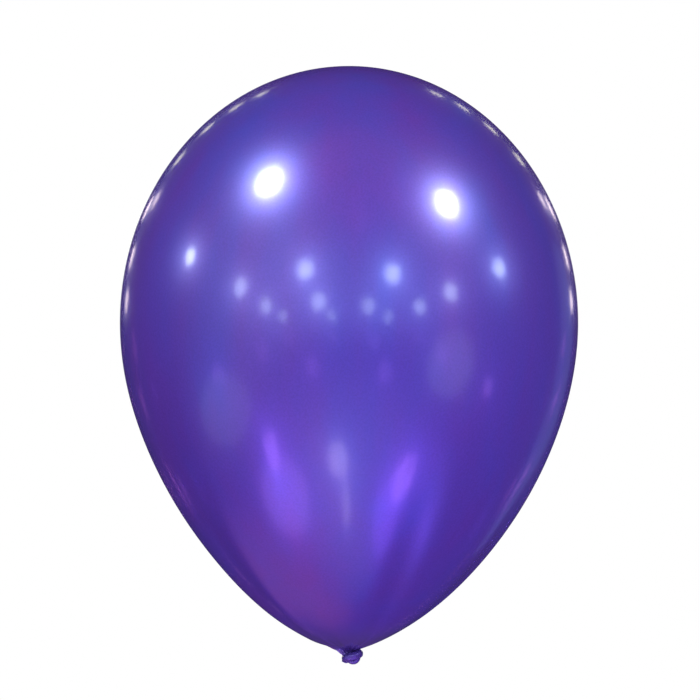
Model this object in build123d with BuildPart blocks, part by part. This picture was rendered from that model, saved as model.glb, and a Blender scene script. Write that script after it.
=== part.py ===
"""Inflated latex balloon tied off with an overhand knot.

The frame's origin is the pinch of the neck, between the envelope and the knot. +Z points up the axis to the
crown, and -Y is the front. Everything is in millimetres.
"""

import os
from math import cos, radians, sin

from build123d import *

quarter_round = 0.5523  # the handle, as a share of the radius, that makes a cubic curve a quarter ellipse

# Envelope: a quarter ellipse above the equator and one tangent curve below it, turned about +Z.
equator_radius = 140.0
dome_height = 157.0
equator_height = 201.3
film = 0.3
side_fullness = 90.6
base_fullness = 61.7
base_slope = 16.6
throat_radius = 7.35
throat_height = 2.4

# Gathered neck: the film drawn in from the throat to the pinch.
pinch_radius = 3.3
flare_reach = 1.8
funnel_radius = 5.8
funnel_depth = 1.0
pleat_count = 12
pleat_radius = 0.3
pleat_length = 1.8
pleat_slope = 21.0
fold_length = 5.6
fold_thickness = 2.1
fold_width = 3.4
fold_slope = 30.0
fold_offset = -6.4
fold_height = 2.9

# Knot: a standing strand that turns under on the right, and the strand wrapped round it.
body_gap = 0.3
strand_bottom = -4.6
wrap_offset = 1.9
wrap_height = -2.4
wrap_ring_radius = 4.2
wrap_strand_radius = 2.7
wrap_tilt = 18.0
bight_offset = 2.5
bight_height = -3.4
bight_bend_radius = 2.4
bight_thickness = 4.0
bight_width = 6.8

# Free end: a flattened tube that fans out to the rolled lip at its mouth.
tail_offset = -0.3
tail_root_y = 4.7
tail_root_height = -6.8
tail_root_radius = 0.85
tail_root_width = 5.2
tail_thickness = 0.9
mouth_y = 13.2
mouth_height = -7.0
mouth_thickness = 1.2
mouth_slit = 0.3
slit_depth = 5.0
lip_width = 8.4
lip_height = 2.2
lip_bead_radius = 0.5

os.makedirs("parts", exist_ok=True)

throat = Vector(throat_radius, throat_height)
base_direction = Vector(cos(radians(base_slope)), sin(radians(base_slope)))
inward = Vector(-sin(radians(base_slope)), cos(radians(base_slope)))


def side_curve(inset):
    """Draw the envelope's profile, moved into the balloon by inset, and return its crown and base points."""
    radius = equator_radius - inset
    base = throat + inward * inset
    crown_height = equator_height + dome_height - inset
    dome = Bezier(
        (0, crown_height),
        (radius * quarter_round, crown_height),
        (radius, equator_height + (dome_height - inset) * quarter_round),
        (radius, equator_height),
    )
    side = Bezier(
        dome @ 1,
        (radius, equator_height - side_fullness),
        base + base_direction * base_fullness,
        base,
    )
    return dome @ 0, side @ 1


def flare_curve(gap):
    """Draw the neck's profile from throat to pinch, moved outwards by gap, and return its ends and middle."""
    top = throat - inward * gap
    pinch = Vector(pinch_radius + gap, -gap)
    flare = Bezier(top, top - base_direction * flare_reach, pinch + Vector(0, flare_reach), pinch)
    return flare @ 0, flare @ 0.5, flare @ 1


# Everything inside the film's outer face, used to cut the neck where it meets the film.
with BuildPart() as envelope_space:
    with BuildSketch(Plane.XZ):
        with BuildLine():
            crown, base = side_curve(0)
            Polyline(base, (0, throat.Y), crown)
        make_face()
    revolve(axis=Axis.Z)

# The stretched film, from the crown to the throat of the neck.
with BuildPart() as envelope:
    with BuildSketch(Plane.XZ):
        with BuildLine():
            outer_crown, outer_base = side_curve(0)
            inner_crown, inner_base = side_curve(film)
            Line(outer_base, inner_base)
            Line(outer_crown, inner_crown)
        make_face()
    revolve(axis=Axis.Z)
envelope.part.label = "envelope"

# A thick fold of film that bulges on the neck's left.
with BuildPart() as fold:
    Sphere(1)
    scale(by=(fold_length, fold_width, fold_thickness))

# The groove between two pleats, along the slope of the neck.
with BuildPart() as pleat_groove:
    Cylinder(pleat_radius, pleat_length)

# The film drawn together below the throat, with the fold on the left and pleats all round.
with BuildPart() as neck_gather:
    with BuildSketch(Plane.XZ):
        with BuildLine():
            top, flare_middle, pinch = flare_curve(0)
            Polyline(pinch, (0, 0), (0, throat.Y), top)
        make_face()
    revolve(axis=Axis.Z)
    with Locations(Location((fold_offset, 0, fold_height), (0, fold_slope, 0))):
        add(fold.part)
    add(envelope_space.part, mode=Mode.SUBTRACT)
    with BuildSketch(Plane.XY):
        Circle(pinch_radius + body_gap)
    extrude(amount=-fold_length, mode=Mode.SUBTRACT)
    with BuildSketch(Plane.XZ):
        with BuildLine():
            Bezier((funnel_radius, throat.Y), (funnel_radius / 2, throat.Y), (0, throat.Y - funnel_depth))
            Polyline((0, throat.Y - funnel_depth), (0, throat.Y), (funnel_radius, throat.Y))
        make_face()
    revolve(axis=Axis.Z, mode=Mode.SUBTRACT)
    on_slope = Location((flare_middle.X, 0, flare_middle.Y), (0, 90 - pleat_slope, 0))
    for turn in range(pleat_count):
        with Locations(Location((0, 0, 0), (0, 0, (turn + 0.5) * 360 / pleat_count)) * on_slope):
            add(pleat_groove.part, mode=Mode.SUBTRACT)
neck_gather.part.label = "neck_gather"

# The room the neck needs as the knot turns below it.
with BuildPart() as neck_space:
    with BuildSketch(Plane.XZ):
        with BuildLine():
            top, _, pinch = flare_curve(body_gap)
            Polyline(pinch, (0, pinch.Y), (0, top.Y), top)
        make_face()
    revolve(axis=Axis.Z)

# The standing strand, from the pinch down through the knot and round the bight to the right.
with BuildPart() as knot_strand:
    with BuildSketch(Plane.XY.offset(-body_gap)):
        Circle(pinch_radius)
    extrude(amount=strand_bottom + body_gap)
    with BuildSketch(Plane.XY.offset(bight_height)):
        with Locations((bight_offset - bight_bend_radius, 0)):
            Ellipse(bight_thickness / 2, bight_width / 2)
    bight_axis = Axis((bight_offset, 0, bight_height), (0, -1, 0))
    revolve(axis=bight_axis, revolution_arc=180)
knot_strand.part.label = "knot_strand"

# The wrapped strand, higher on the right, drawn tight round the standing strand.
with BuildPart() as knot_wrap:
    with Locations(Location((wrap_offset, 0, wrap_height), (0, -wrap_tilt, 0))):
        Torus(wrap_ring_radius, wrap_strand_radius)
    add(knot_strand.part, mode=Mode.SUBTRACT)
    add(neck_space.part, mode=Mode.SUBTRACT)
knot_wrap.part.label = "knot_wrap"

# The bead rolled round the mouth, pressed into a flat loop.
loop_width = lip_width - 2 * lip_bead_radius
loop_height = lip_height - 2 * lip_bead_radius
mouth = Plane(origin=(tail_offset, mouth_y, mouth_height), x_dir=(1, 0, 0), z_dir=(0, 1, 0))
with BuildPart() as rolled_lip:
    with BuildLine(mouth) as lip_path:
        straight = (loop_width - loop_height) / 2
        upper = Line((straight, loop_height / 2), (-straight, loop_height / 2))
        RadiusArc(upper @ 1, (-straight, -loop_height / 2), -loop_height / 2)
        lower = Line((-straight, -loop_height / 2), (straight, -loop_height / 2))
        RadiusArc(lower @ 1, upper @ 0, -loop_height / 2)
    with BuildSketch(Plane(origin=upper @ 0, z_dir=upper % 0)):
        Circle(lip_bead_radius)
    sweep(path=lip_path.wire())
rolled_lip.part.label = "rolled_lip"

# The flattened end of the neck, hinged where it leaves the knot.
tail_root = Plane(origin=(tail_offset, tail_root_y, tail_root_height), x_dir=(1, 0, 0), z_dir=(0, 1, 0))
with BuildPart() as tail:
    with BuildSketch(tail_root):
        SlotOverall(tail_root_width, tail_thickness)
    with BuildSketch(mouth):
        SlotOverall(loop_width, mouth_thickness)
    loft()
    with Locations(Location((tail_offset, tail_root_y, tail_root_height), (0, 90, 0))):
        Cylinder(tail_root_radius, tail_root_width)
    with BuildSketch(mouth):
        SlotOverall(loop_width - mouth_thickness, mouth_slit)
    extrude(amount=-slit_depth, mode=Mode.SUBTRACT)
    add(rolled_lip.part, mode=Mode.SUBTRACT)
tail.part.label = "tail"

for sub_part in (envelope, neck_gather, knot_strand, knot_wrap, tail, rolled_lip):
    export_step(sub_part.part, f"parts/{sub_part.part.label}.step")
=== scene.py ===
"""Pearl violet latex balloon, inflated and tied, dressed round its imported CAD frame."""

from math import atan2, cos, pi, radians, sin

import bmesh
import bpy
from mathutils import Matrix, Vector, noise


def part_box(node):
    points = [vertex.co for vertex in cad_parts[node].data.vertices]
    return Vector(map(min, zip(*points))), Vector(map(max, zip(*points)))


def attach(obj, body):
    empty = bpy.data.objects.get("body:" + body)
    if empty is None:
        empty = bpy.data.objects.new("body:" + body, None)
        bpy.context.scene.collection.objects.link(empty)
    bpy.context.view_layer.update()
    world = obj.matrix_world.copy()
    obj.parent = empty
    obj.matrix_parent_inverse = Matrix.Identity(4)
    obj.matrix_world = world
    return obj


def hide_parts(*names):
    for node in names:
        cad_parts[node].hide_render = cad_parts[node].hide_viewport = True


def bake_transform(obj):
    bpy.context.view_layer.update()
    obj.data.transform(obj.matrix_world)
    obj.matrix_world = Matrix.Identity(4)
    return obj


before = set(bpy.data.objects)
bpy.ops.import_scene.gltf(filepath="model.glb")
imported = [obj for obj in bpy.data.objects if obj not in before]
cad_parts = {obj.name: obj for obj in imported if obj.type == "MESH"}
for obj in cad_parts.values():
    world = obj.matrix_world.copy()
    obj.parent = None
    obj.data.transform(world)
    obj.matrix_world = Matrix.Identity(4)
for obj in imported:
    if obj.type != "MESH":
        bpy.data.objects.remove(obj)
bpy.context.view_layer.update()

MM = 0.001

# ---------------------------------------------------------------- sizes, from the frame
film_low, film_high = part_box("envelope")
wrap_low, wrap_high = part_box("knot_wrap")
tail_low, tail_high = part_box("tail")
lip_low, lip_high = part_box("rolled_lip")

EQUATOR_R = (film_high.x - film_low.x) / 2
CROWN_Z = film_high.z
DOME_H = 157 * MM  # from the widest level up to the crown
EQUATOR_Z = CROWN_Z - DOME_H
THROAT_R = 7.35 * MM  # where the envelope ends and the gathered neck begins
THROAT_Z = film_low.z
PINCH_R = 3.3 * MM  # where the neck runs into the knot
NECK_END_Z = -0.6 * MM  # where the film's outline ends, inside the knot

TAIL_X = (tail_low.x + tail_high.x) / 2
LIP_Y = (lip_low.y + lip_high.y) / 2
LIP_Z = (lip_low.z + lip_high.z) / 2
LIP_HALF = (lip_high.x - lip_low.x) / 2


# ---------------------------------------------------------------- mesh helpers
def add_mesh(name, verts, faces, smooth=True):
    mesh = bpy.data.meshes.new(name)
    mesh.from_pydata([tuple(v) for v in verts], [], faces)
    mesh.validate()
    shell = bmesh.new()
    shell.from_mesh(mesh)
    bmesh.ops.recalc_face_normals(shell, faces=shell.faces)
    shell.to_mesh(mesh)
    shell.free()
    if smooth:
        mesh.shade_smooth()
    piece = bpy.data.objects.new(name, mesh)
    bpy.context.scene.collection.objects.link(piece)
    return piece


def ring_faces(rings, around, closed_along=False):
    """The quads between neighbouring rings of around vertices each."""
    faces = []
    for i in range(rings if closed_along else rings - 1):
        for j in range(around):
            a = i * around + j
            b = i * around + (j + 1) % around
            c = (i + 1) % rings * around + (j + 1) % around
            d = (i + 1) % rings * around + j
            faces.append((a, b, c, d))
    return faces


def bezier(p0, p1, p2, p3, t):
    s = 1 - t
    return p0 * (s**3) + p1 * (3 * s * s * t) + p2 * (3 * s * t * t) + p3 * (t**3)


def smoothstep(low, high, x):
    """0 at low and 1 at high, which may be the smaller of the two."""
    t = min(1, max(0, (x - low) / (high - low)))
    return t * t * (3 - 2 * t)


# ---------------------------------------------------------------- the film
SEGMENTS = 252
DOME_RINGS, BASE_RINGS, NECK_RINGS = 90, 130, 24
THROAT_CROWDING = 1.25  # above 1, the base's rings lie closer together towards the throat
BASE_SLOPE = radians(16.6)  # how steeply the film rises away from the throat
BASE_DIRECTION = Vector((cos(BASE_SLOPE), sin(BASE_SLOPE)))
EQUATOR_HANDLE, THROAT_HANDLE, NECK_HANDLE = 90.6 * MM, 61.7 * MM, 1.8 * MM  # of the outline's curves

PLEATS = 14
FLUTE_DEPTH = 1.1 * MM
PLEAT_DEPTH = 0.5 * MM
BELLY_DROP = 1.5 * MM
FOLD_DEPTH = 1.5 * MM
FUNNEL_DROP = 2.2 * MM


def film_profile():
    """The outline from the crown down to the pinch, as (radius, height) points."""
    points = []
    for i in range(1, DOME_RINGS + 1):
        angle = pi / 2 * (1 - i / DOME_RINGS)
        points.append(Vector((EQUATOR_R * cos(angle), EQUATOR_Z + DOME_H * sin(angle))))
    equator = Vector((EQUATOR_R, EQUATOR_Z))
    throat = Vector((THROAT_R, THROAT_Z))
    pinch = Vector((PINCH_R, NECK_END_Z))
    below_equator = equator - Vector((0, EQUATOR_HANDLE))
    outside_throat = throat + BASE_DIRECTION * THROAT_HANDLE
    for i in range(1, BASE_RINGS + 1):
        t = 1 - (1 - i / BASE_RINGS) ** THROAT_CROWDING
        points.append(bezier(equator, below_equator, outside_throat, throat, t))
    inside_throat = throat - BASE_DIRECTION * NECK_HANDLE
    above_pinch = pinch + Vector((0, NECK_HANDLE))
    for i in range(1, NECK_RINGS + 1):
        points.append(bezier(throat, inside_throat, above_pinch, pinch, i / NECK_RINGS))
    return points


def film_swell(angle, height, radius):
    """How far the film stands off its turned shape, outwards and upwards.

    Long shallow flutes run up from the neck, and tighter pleats gather at the throat. On the left
    the base sags a little, a small fold hangs at the throat, and the neck drops into the knot as
    a funnel."""
    if height >= EQUATOR_Z:
        return 0, 0
    wobble = noise.noise(Vector((cos(angle) * 1.7, sin(angle) * 1.7, 4.0)))
    flute = 0.55 * cos(6 * (angle - pi / 2)) + 0.50 * cos(9 * angle + 1.1)
    flute += 0.38 * cos(13 * angle + 3 * wobble)
    flute *= smoothstep(175 * MM, 80 * MM, height) * FLUTE_DEPTH
    flute *= smoothstep(8 * MM, 70 * MM, radius)
    near = smoothstep(60 * MM, 5 * MM, radius)
    pleat = 0.6 * cos(PLEATS * angle + 2.2 * wobble)
    pleat += 0.4 * cos((PLEATS * 2 + 3) * angle + 5 * wobble)
    pleat *= near**3 * min(PLEAT_DEPTH, radius * 0.09)
    off_left = abs(atan2(sin(angle - pi), cos(angle - pi)))
    belly = BELLY_DROP * smoothstep(1.3, 0.0, off_left)
    belly *= smoothstep(95 * MM, 40 * MM, radius) * smoothstep(6 * MM, 24 * MM, radius)
    fold = FOLD_DEPTH * smoothstep(0.75, 0.0, off_left)
    fold *= smoothstep(15 * MM, 7 * MM, radius) * smoothstep(PINCH_R, THROAT_R, radius)
    funnel = FUNNEL_DROP * smoothstep(1.3, 0.3, off_left)
    funnel *= smoothstep(THROAT_R, PINCH_R + 0.5 * MM, radius)
    gather = 1 - 0.7 * smoothstep(THROAT_R * 0.7, THROAT_R * 1.6, radius)
    outward = pleat * gather + 0.55 * fold + 0.25 * funnel + 0.7 * flute
    upward = -0.8 * pleat - 0.75 * fold - funnel - belly - 0.5 * flute
    return outward, upward


def make_film():
    outline = film_profile()
    verts = [(0, 0, CROWN_Z)]
    for radius, height in outline:
        for j in range(SEGMENTS):
            angle = 2 * pi * j / SEGMENTS
            outward, upward = film_swell(angle, height, radius)
            r = radius + outward
            verts.append((r * cos(angle), r * sin(angle), height + upward))
    faces = [(0, 1 + j, 1 + (j + 1) % SEGMENTS) for j in range(SEGMENTS)]
    rings = ring_faces(len(outline), SEGMENTS)
    faces += [tuple(1 + v for v in reversed(face)) for face in rings]
    last = 1 + (len(outline) - 1) * SEGMENTS
    end = len(verts)
    verts.append((0, 0, NECK_END_Z))
    faces += [(end, last + (j + 1) % SEGMENTS, last + j) for j in range(SEGMENTS)]
    return add_mesh("film", verts, faces)


# ---------------------------------------------------------------- strands of the knot
def strand(name, centres, widths, heights, ups, creases, seed,
           around=48, closed=False, wrinkle=0.12 * MM):
    """A gathered rubber tube along centres; each section is an ellipse with creases running along."""
    rings = len(centres)
    verts = []
    for i in range(rings):
        before = centres[(i - 1) % rings] if closed or i else centres[0]
        after = centres[(i + 1) % rings] if closed or i < rings - 1 else centres[-1]
        along = (after - before).normalized()
        up = (ups[i] - along * ups[i].dot(along)).normalized()
        side = along.cross(up)
        share = i / rings
        if closed:
            place = Vector((cos(2 * pi * share), sin(2 * pi * share), 0))
            sway = 2 * sin(2 * pi * share)
        else:
            place = Vector((share * 3, 0, 0))
            sway = 0
        for j in range(around):
            angle = 2 * pi * j / around
            across, rise = cos(angle), sin(angle)
            drift = noise.noise(place * 1.3 + Vector((seed, across, rise)))
            crease = cos(creases * angle + 4 * drift + sway)
            lump = noise.noise(place * 1.8 + Vector((seed + 9, 1.5 * across, 1.5 * rise)))
            swell = wrinkle * (crease * 0.6 + lump * 1.4)
            out = side * (across * (widths[i] + swell)) + up * (rise * (heights[i] + swell))
            verts.append(centres[i] + out)
    faces = ring_faces(rings, around, closed_along=closed)
    if not closed:
        first, last, top = len(verts), len(verts) + 1, (rings - 1) * around
        verts += [centres[0], centres[-1]]
        faces += [(first, (j + 1) % around, j) for j in range(around)]
        faces += [(last, top + j, top + (j + 1) % around) for j in range(around)]
    return add_mesh(name, verts, faces)


WRAP_RINGS = 96
WRAP_R = 4.2 * MM
WRAP_Z = -2.4 * MM
WRAP_TILT = radians(-18)


def make_wrap():
    """The wrapped strand: a tilted ring, fat on the right where the rubber bunches."""
    centre = Vector(((wrap_low.x + wrap_high.x) / 2, 0, WRAP_Z))
    tilt = Matrix.Rotation(WRAP_TILT, 3, "Y")
    centres, widths, heights, ups = [], [], [], []
    for i in range(WRAP_RINGS):
        angle = 2 * pi * i / WRAP_RINGS
        radial = Vector((cos(angle), sin(angle), 0))
        bunch = 0.5 + 0.5 * cos(angle)
        centres.append(centre + tilt @ (radial * WRAP_R))
        widths.append((2.45 + 0.25 * bunch) * MM)
        heights.append((2.2 + 0.55 * bunch + 0.12 * sin(3 * angle + 1)) * MM)
        ups.append(tilt @ Vector((0, 0, 1)))
    return strand("knot_wrap_skin", centres, widths, heights, ups,
                  creases=6, seed=2.0, closed=True)


STAND_RINGS, BEND_RINGS = 14, 32
BEND_R = 2.4 * MM
BEND_HUB = Vector((2.5 * MM, 0, -3.4 * MM))


def make_bight():
    """The standing strand below the pinch, turning under to the right."""
    centres, widths, heights, ups = [], [], [], []
    for i in range(STAND_RINGS):
        t = i / (STAND_RINGS - 1)
        full = smoothstep(0.0, 0.3, t)
        centres.append(Vector((0.1 * t, 0, 0.7 - 4.05 * t)) * MM)
        widths.append((2.6 + 0.65 * full - 0.54 * t) * MM)
        heights.append((2.6 + 0.65 * full - 1.25 * t) * MM)
        ups.append(Vector((1, 0, 0)))
    for i in range(1, BEND_RINGS + 1):
        angle = pi + pi * i / BEND_RINGS
        centres.append(BEND_HUB + Vector((cos(angle), 0, sin(angle))) * BEND_R)
        widths.append(3.2 * MM)
        heights.append(2.0 * MM)
        ups.append(centres[-1] - BEND_HUB)
    return strand("knot_strand_skin", centres, widths, heights, ups,
                  creases=8, seed=5.0, wrinkle=0.1 * MM)


# ---------------------------------------------------------------- the free end
TAIL_AROUND, TAIL_RINGS = 96, 60
TAIL_LINE = (
    Vector((TAIL_X + 0.6 * MM, 1.2 * MM, -5.2 * MM)),
    Vector((TAIL_X, 3.6 * MM, -6.9 * MM)),
    Vector((TAIL_X, 8 * MM, -6.5 * MM)),
    Vector((TAIL_X, LIP_Y, LIP_Z)),
)
MOUTH_RINGS, MOUTH_STEP = 10, 1 / 30  # rings inside the mouth, and their spacing along TAIL_LINE
MOUTH_WALL = 0.3 * MM
MOUTH_GAP = 0.42 * MM  # half the height of the opening
PLY_WAVE = 0.22 * MM
CRUMPLE = 0.22 * MM
LIP_STEPS = 120
LIP_BEAD_R = 0.5 * MM


def ply_wave(x):
    """The wave, from -1 to 1, that the tail's plies and the lip share across their width."""
    return sin(5.5 * x / (3 * MM) + 1.3)


def tail_half_width(t):
    return (2.3 + 1.55 * smoothstep(0.25, 1.0, t)) * MM


def tail_ring(t, half_width, half_height, crumple=0):
    """One waved ring of the flattened tube, at t along TAIL_LINE from the knot to the mouth."""
    centre = bezier(*TAIL_LINE, t)
    ring = []
    for j in range(TAIL_AROUND):
        angle = 2 * pi * j / TAIL_AROUND
        x, z = half_width * cos(angle), half_height * sin(angle)
        z += PLY_WAVE * ply_wave(x) * (1 - 0.5 * t)
        z += crumple * noise.noise(Vector((x * 500, t * 2.4, 7 + sin(angle))))
        ring.append(centre + Vector((x, 0, z)))
    return ring


def make_tail():
    """A flattened tube with crumpled plies, from inside the knot to the mouth."""
    verts = []
    for i in range(TAIL_RINGS):
        t = i / (TAIL_RINGS - 1)
        half_height = (1.35 - 0.75 * smoothstep(0.0, 0.5, t) + 0.15 * smoothstep(0.6, 1, t)) * MM
        verts += tail_ring(t, tail_half_width(t), half_height, CRUMPLE)
    root = len(verts)
    verts.append(TAIL_LINE[0])
    # the inside of the tube, a little way in from the mouth, where it narrows to a slit
    inner = len(verts)
    for i in range(MOUTH_RINGS):
        t = 1 - i * MOUTH_STEP
        verts += tail_ring(t, tail_half_width(t) - MOUTH_WALL, MOUTH_GAP * (1 - i / MOUTH_RINGS))
    end = len(verts)
    verts.append(bezier(*TAIL_LINE, t))
    outer = (TAIL_RINGS - 1) * TAIL_AROUND
    slit = inner + (MOUTH_RINGS - 1) * TAIL_AROUND
    around = [(j, (j + 1) % TAIL_AROUND) for j in range(TAIL_AROUND)]
    faces = ring_faces(TAIL_RINGS, TAIL_AROUND)
    faces += [(root, k, j) for j, k in around]
    faces += [(outer + j, outer + k, inner + k, inner + j) for j, k in around]
    faces += [tuple(inner + v for v in face) for face in ring_faces(MOUTH_RINGS, TAIL_AROUND)]
    faces += [(end, slit + j, slit + k) for j, k in around]
    return add_mesh("tail_skin", verts, faces)


def make_lip():
    """The bead rolled at the mouth."""
    centres, radii, ups = [], [], []
    for i in range(LIP_STEPS):
        angle = 2 * pi * i / LIP_STEPS
        x = (LIP_HALF - LIP_BEAD_R) * cos(angle)
        y = 0.12 * MM * cos(2 * angle + 0.4)
        z = 0.62 * MM * sin(angle) * (1.0 + 0.15 * cos(3 * angle))
        z += PLY_WAVE / 2 * ply_wave(x)
        centres.append(Vector((TAIL_X + x, LIP_Y + y, LIP_Z + z)))
        radii.append(LIP_BEAD_R + 0.05 * MM * sin(5 * angle))
        ups.append(Vector((0, 1, 0)))
    return strand("rolled_lip_skin", centres, radii, radii, ups,
                  creases=3, seed=11.0, around=20, closed=True, wrinkle=0.03 * MM)


# ---------------------------------------------------------------- shader helpers
def new_material(name):
    material = bpy.data.materials.new(name)
    material.use_nodes = True
    tree = material.node_tree
    for node in list(tree.nodes):
        tree.nodes.remove(node)
    output = tree.nodes.new("ShaderNodeOutputMaterial")
    return material, tree, output


def noise_value(tree, vector, scale, detail, roughness=0.5):
    node = tree.nodes.new("ShaderNodeTexNoise")
    node.inputs["Scale"].default_value = scale
    node.inputs["Detail"].default_value = detail
    node.inputs["Roughness"].default_value = roughness
    tree.links.new(vector, node.inputs["Vector"])
    return node.outputs["Fac"]


def mapped(tree, value, low, high, to_low=0, to_high=1, smooth=False):
    """The value, from low to high, carried over to the range from to_low to to_high."""
    node = tree.nodes.new("ShaderNodeMapRange")
    if smooth:
        node.interpolation_type = "SMOOTHSTEP"
    node.inputs["From Min"].default_value = low
    node.inputs["From Max"].default_value = high
    node.inputs["To Min"].default_value = to_low
    node.inputs["To Max"].default_value = to_high
    tree.links.new(value, node.inputs["Value"])
    return node.outputs["Result"]


def two_tone(tree, value, low, low_colour, high, high_colour):
    """low_colour where the value is up to low, blending into high_colour at high."""
    node = tree.nodes.new("ShaderNodeValToRGB")
    ends = node.color_ramp.elements
    ends[0].position, ends[1].position = low, high
    ends[0].color, ends[1].color = (*low_colour, 1), (*high_colour, 1)
    tree.links.new(value, node.inputs["Fac"])
    return node.outputs["Color"]


def tinted(tree, share, below, colour):
    """What is below, a colour or an output, turned to the given colour by share."""
    mix = tree.nodes.new("ShaderNodeMix")
    mix.data_type = "RGBA"
    mix.inputs["B"].default_value = (*colour, 1)
    tree.links.new(share, mix.inputs["Factor"])
    if isinstance(below, tuple):
        mix.inputs["A"].default_value = (*below, 1)
    else:
        tree.links.new(below, mix.inputs["A"])
    return mix.outputs["Result"]


def bumped(tree, height, strength):
    node = tree.nodes.new("ShaderNodeBump")
    node.inputs["Strength"].default_value = strength
    node.inputs["Distance"].default_value = 0.2 * MM
    tree.links.new(height, node.inputs["Height"])
    return node.outputs["Normal"]


def principled(tree, settings):
    node = tree.nodes.new("ShaderNodeBsdfPrincipled")
    for name, value in settings.items():
        node.inputs[name].default_value = value
    return node


def mixed(tree, share, first, second):
    """The first shader, turned into the second by share."""
    node = tree.nodes.new("ShaderNodeMixShader")
    tree.links.new(share, node.inputs["Fac"])
    tree.links.new(first, node.inputs[1])
    tree.links.new(second, node.inputs[2])
    return node.outputs[0]


# ---------------------------------------------------------------- materials
NECK_COLOUR = (0.082, 0.042, 0.235)
CLEAR_VIOLET = (0.78, 0.46, 0.98, 1)
THIN_OPACITY = 0.56  # where the film is stretched thinnest


def film_material():
    """Stretched pearl latex: see-through violet with a lavender sheen.

    It is thicker and duller at the neck and at the small spot on the crown."""
    material, tree, output = new_material("pearl_film")
    nodes, links = tree.nodes, tree.links
    place = nodes.new("ShaderNodeTexCoord").outputs["Object"]
    # soft reddish and bluish streaks from the crown to the neck, placed at random: painted
    # reflections of the room
    lengthwise = nodes.new("ShaderNodeMapping")
    lengthwise.inputs["Scale"].default_value = (1, 1, 0.16)
    links.new(place, lengthwise.inputs["Vector"])
    painted_reflection_streaks = noise_value(tree, lengthwise.outputs["Vector"], 26, 4, roughness=0.55)
    tint = two_tone(tree, painted_reflection_streaks, 0.30, (0.172, 0.062, 0.41), 0.72, (0.102, 0.085, 0.51))
    # fine pearl flake
    flake = mapped(tree, noise_value(tree, place, 900, 2), 0.35, 0.65, 0.92, 1.08)
    pearl = nodes.new("ShaderNodeVectorMath")
    pearl.operation = "SCALE"
    links.new(tint, pearl.inputs[0])
    links.new(flake, pearl.inputs["Scale"])
    # how thick the rubber is: up to 1 at the neck, and up to 0.55 on the crown's spot
    split = nodes.new("ShaderNodeSeparateXYZ")
    links.new(place, split.inputs[0])
    height = split.outputs["Z"]
    neck = mapped(tree, height, 26 * MM, 3 * MM, smooth=True)
    crown = mapped(tree, height, CROWN_Z - 2.2 * MM, CROWN_Z, to_high=0.55, smooth=True)
    thick = nodes.new("ShaderNodeMath")
    thick.operation = "MAXIMUM"
    links.new(neck, thick.inputs[0])
    links.new(crown, thick.inputs[1])
    shell = principled(tree, {
        "Metallic": 0.35,
        "Roughness": 0.32,
        "IOR": 2.0,
        "Specular Tint": (0.52, 0.76, 1.0, 1),
        "Coat Weight": 0.85,
        "Coat Roughness": 0.13,
        "Coat IOR": 1.45,
    })
    colour = tinted(tree, thick.outputs[0], pearl.outputs[0], NECK_COLOUR)
    links.new(colour, shell.inputs["Base Color"])
    # a faint orange-peel in the gloss
    peel = bumped(tree, noise_value(tree, place, 60, 2), 0.12)
    links.new(peel, shell.inputs["Coat Normal"])
    clear = nodes.new("ShaderNodeBsdfTransparent")
    clear.inputs["Color"].default_value = CLEAR_VIOLET
    opacity = mapped(tree, thick.outputs[0], 0, 1, to_low=THIN_OPACITY)
    links.new(mixed(tree, opacity, clear.outputs[0], shell.outputs[0]), output.inputs["Surface"])
    return material


def rubber_material():
    """The same rubber where it isn't stretched: darker, duller and finely grained."""
    material, tree, output = new_material("neck_rubber")
    place = tree.nodes.new("ShaderNodeTexCoord").outputs["Object"]
    grain = noise_value(tree, place, 420, 4)
    shell = principled(tree, {
        "Metallic": 0.25,
        "Roughness": 0.45,
        "Coat Weight": 0.25,
        "Coat Roughness": 0.3,
    })
    shade = two_tone(tree, grain, 0.3, (0.06, 0.028, 0.2), 0.75, (0.11, 0.055, 0.33))
    tree.links.new(shade, shell.inputs["Base Color"])
    tree.links.new(bumped(tree, grain, 0.25), shell.inputs["Normal"])
    tree.links.new(shell.outputs[0], output.inputs["Surface"])
    return material


# ---------------------------------------------------------------- light and camera
TARGET = Vector((0.6 * MM, 0, EQUATOR_Z - 16.5 * MM))
CAMERA_DISTANCE = 2.0
FRAME_WIDTH = 0.4287  # what the view takes in, at the balloon
SENSOR_WIDTH = 36
LAMP_DISTANCE, NEAR_DISTANCE, FAR_DISTANCE = 1.3, 1.0, 2.6


def make_camera():
    data = bpy.data.cameras.new("camera")
    data.sensor_width = SENSOR_WIDTH
    data.lens = SENSOR_WIDTH * CAMERA_DISTANCE / FRAME_WIDTH
    camera = bpy.data.objects.new("camera", data)
    camera.location = TARGET + Vector((0, -CAMERA_DISTANCE, 0))
    camera.rotation_euler = (radians(90), 0, 0)
    bpy.context.scene.collection.objects.link(camera)
    bpy.context.scene.camera = camera


def compass(azimuth, elevation):
    """The direction at azimuth (0 towards the front, 90 to the right) and elevation, in degrees."""
    a, e = radians(azimuth), radians(elevation)
    return Vector((sin(a) * cos(e), -cos(a) * cos(e), sin(e)))


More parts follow.
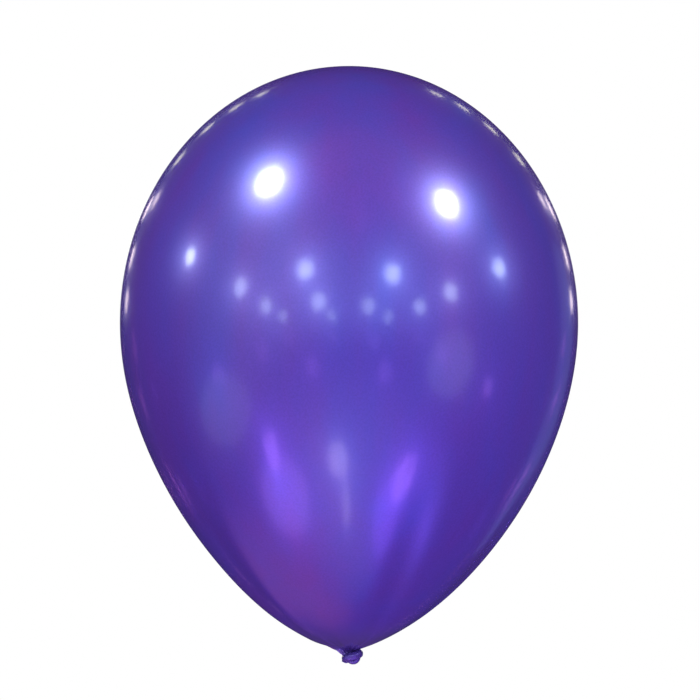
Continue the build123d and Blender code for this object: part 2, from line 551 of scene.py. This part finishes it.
def lamp(name, azimuth, elevation, degrees_across, radiance, colour,
         distance=LAMP_DISTANCE, stretch=1.0):
    """A soft lamp in a direction from the middle of the balloon's widest level.

    stretch lengthens it along the line that leads to the front, which a round film squeezes in
    its mirror image."""
    towards, front = compass(azimuth, elevation), compass(0, 0)
    lengthwise = (front - towards * front.dot(towards)).normalized()
    data = bpy.data.lights.new(name, "AREA")
    data.shape = "ELLIPSE"
    data.size = 2 * distance * sin(radians(degrees_across / 2))
    data.size_y = data.size * stretch
    data.energy = radiance * pi * pi * (data.size / 2) * (data.size_y / 2)
    data.color = colour
    light = bpy.data.objects.new(name, data)
    axes = Matrix((lengthwise.cross(towards), lengthwise, towards)).transposed()
    place = Vector((0, 0, EQUATOR_Z)) + towards * distance
    light.matrix_world = Matrix.Translation(place) @ axes.to_4x4()
    light.visible_camera = False
    bpy.context.scene.collection.objects.link(light)


def make_lights():
    white, cool = (0.80, 0.94, 1.0), (0.68, 0.84, 1.0)
    yellow, rose = (1.0, 0.96, 0.66), (1.0, 0.82, 0.78)
    lavender = (0.95, 0.82, 1.0)
    # two large round lamps in front, above the balloon
    lamp("large_left", -56.5, 50.5, 11.5, 70, white, stretch=1.15, distance=NEAR_DISTANCE)
    lamp("large_right", 60, 41, 10, 70, white, stretch=1.2, distance=NEAR_DISTANCE)
    # small round ones, 2 to 20 degrees above the level of the balloon's widest part
    lamp("side_left", -87, 19.0, 4.8, 46, white, stretch=1.2)
    lamp("side_right", 79, 16.5, 5.5, 30, cool, stretch=1.3)
    lamp("front_left", -21, 19.5, 7.0, 30, cool)
    lamp("front_right", 21, 18.0, 7.0, 30, cool)
    lamp("row_1", -53, 12.0, 6.0, 25, cool)
    lamp("row_2", -39, 6.0, 5.0, 20, cool)
    lamp("row_3", -31, 2.0, 4.0, 13, cool)
    lamp("row_4", -14, 7.5, 6.0, 22, cool)
    lamp("row_5", -8, 2.5, 4.0, 12, cool)
    lamp("row_6", 9, 6.0, 5.5, 17, cool)
    lamp("row_7", 18, 2.0, 4.0, 12, cool)
    lamp("row_8", 33, 5.5, 5.0, 19, cool)
    lamp("row_9", 49, 10.5, 6.0, 24, cool)
    # two dim soft boxes, low in front
    lamp("box_right", 50, -14, 24, 1.3, white)
    lamp("box_left", -68, -26, 20, 0.9, white, stretch=1.5)
    # coloured glows from below: two violet ones and, between them, a lavender one over a thin one
    lamp("glow_left", -53, -54, 19, 3.4, (0.60, 0.29, 1.0), stretch=1.35)
    lamp("glow_right", 45, -61, 19, 2.9, (0.36, 0.13, 1.0), stretch=1.45)
    lamp("glow_middle", -9, -46, 8.5, 7.0, lavender, stretch=1.4)
    lamp("glow_thread", -8, -60, 3.5, 4.5, lavender, stretch=4.5)
    # small ones in the distance behind, on both sides
    for side in (-1, 1):
        for i in range(4):
            high, low = side * (154 + 2.5 * i), side * (147 + 4 * (i % 3))
            lamp("far_high", high, 20 + 5 * i, 2.4, 5, yellow, distance=FAR_DISTANCE, stretch=1.8)
            lamp("far_low", low, 3 + 4.5 * i, 2.6, 7, rose, distance=FAR_DISTANCE, stretch=1.9)
    # a tall dim panel behind on the right
    lamp("panel_right", 136, -10, 54, 0.40, (0.36, 0.52, 1.0), stretch=0.38)


def direction_share(tree, source, azimuth, elevation, edge, core):
    """1 where a direction is within core degrees of the given one, falling to 0 at edge degrees."""
    dot = tree.nodes.new("ShaderNodeVectorMath")
    dot.operation = "DOT_PRODUCT"
    dot.inputs[1].default_value = compass(azimuth, elevation)
    tree.links.new(source, dot.inputs[0])
    return mapped(tree, dot.outputs["Value"], cos(radians(edge)), cos(radians(core)), smooth=True)


def make_world():
    """A dim soft room that is brightest in front, shown to the camera as plain white."""
    world = bpy.data.worlds.new("studio")
    world.use_nodes = True
    tree = world.node_tree
    nodes, links = tree.nodes, tree.links
    direction = nodes.new("ShaderNodeTexCoord").outputs["Generated"]
    colour = (0.05, 0.04, 0.08)
    for azimuth, elevation, edge, core, tint in (
        (0, 8, 105, 5, (0.74, 0.96, 1.0)),  # the front
        (180, 65, 60, 10, (0.02, 0.01, 0.03)),  # overhead, behind
        (8, 58, 42, 5, (0.66, 0.14, 0.08)),  # a rosy patch, high in front
        (40, -50, 110, 40, (0.22, 0.11, 0.36)),  # the lower right
        (-2, -56, 48, 8, (0.95, 0.70, 1.5)),  # below, in front
        (-118, -64, 26, 0, (1.0, 0.34, 0.60)),  # a rosy patch, below on the left
    ):
        share = direction_share(tree, direction, azimuth, elevation, edge, core)
        colour = tinted(tree, share, colour, tint)
    room = nodes["Background"]
    links.new(colour, room.inputs["Color"])
    pale = nodes.new("ShaderNodeBackground")
    pale.inputs["Color"].default_value = (1, 1, 1, 1)
    # a camera ray that has passed both walls of the film meets the dim room, so that the film
    # keeps its depth of colour
    seen = nodes.new("ShaderNodeLightPath")
    unveiled = nodes.new("ShaderNodeMath")
    unveiled.operation = "LESS_THAN"
    unveiled.inputs[1].default_value = 1.5
    links.new(seen.outputs["Transparent Depth"], unveiled.inputs[0])
    both = nodes.new("ShaderNodeMath")
    both.operation = "MULTIPLY"
    links.new(seen.outputs["Is Camera Ray"], both.inputs[0])
    links.new(unveiled.outputs[0], both.inputs[1])
    shown = mixed(tree, both.outputs[0], room.outputs[0], pale.outputs[0])
    links.new(shown, nodes["World Output"].inputs["Surface"])
    bpy.context.scene.world = world


# ---------------------------------------------------------------- stage
FLOOR_Z = -0.3
FLOOR_R = 3.0
FLOOR_SIDES = 128
FADE_START, FADE_END = 0.7, 2.2  # from the floor's middle


def floor_material():
    """Pale paint that fades into the white background, and is clear from underneath."""
    material, tree, output = new_material("pale_floor")
    nodes, links = tree.nodes, tree.links
    length = nodes.new("ShaderNodeVectorMath")
    length.operation = "LENGTH"
    links.new(nodes.new("ShaderNodeTexCoord").outputs["Object"], length.inputs[0])
    fade = mapped(tree, length.outputs["Value"], FADE_START, FADE_END, to_low=0.45, smooth=True)
    paint = nodes.new("ShaderNodeBsdfDiffuse")
    paint.inputs["Color"].default_value = (0.88, 0.88, 0.88, 1)
    backdrop = nodes.new("ShaderNodeEmission")
    above = mixed(tree, fade, paint.outputs[0], backdrop.outputs[0])
    under = nodes.new("ShaderNodeBsdfTransparent")
    side = nodes.new("ShaderNodeNewGeometry").outputs["Backfacing"]
    links.new(mixed(tree, side, above, under.outputs[0]), output.inputs["Surface"])
    return material


def make_floor():
    """A pale disc well below the balloon, which the film's gloss doesn't show."""
    verts = [(0, 0, 0)]
    for i in range(FLOOR_SIDES):
        angle = 2 * pi * i / FLOOR_SIDES
        verts.append((FLOOR_R * cos(angle), FLOOR_R * sin(angle), 0))
    faces = [(0, 1 + i, 1 + (i + 1) % FLOOR_SIDES) for i in range(FLOOR_SIDES)]
    floor = add_mesh("floor", verts, faces, smooth=False)
    floor.location.z = FLOOR_Z
    floor.data.materials.append(floor_material())
    floor.visible_glossy = False
    floor.visible_diffuse = False
    floor.visible_shadow = False


# ---------------------------------------------------------------- put it together
bpy.context.scene.view_settings.view_transform = "Standard"
make_camera()
make_world()
make_lights()
make_floor()

film_look = film_material()
rubber_look = rubber_material()

film = make_film()
film.data.materials.append(film_look)
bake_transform(film)
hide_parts("envelope", "neck_gather")

wrap = make_wrap()
bight = make_bight()
for piece, node in ((wrap, "knot_wrap"), (bight, "knot_strand")):
    piece.data.materials.append(rubber_look)
    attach(piece, "knot")
    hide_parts(node)

tail = make_tail()
tail.data.materials.append(rubber_look)
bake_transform(tail)
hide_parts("tail")

lip = make_lip()
lip.data.materials.append(rubber_look)
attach(lip, "free_end")
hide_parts("rolled_lip")
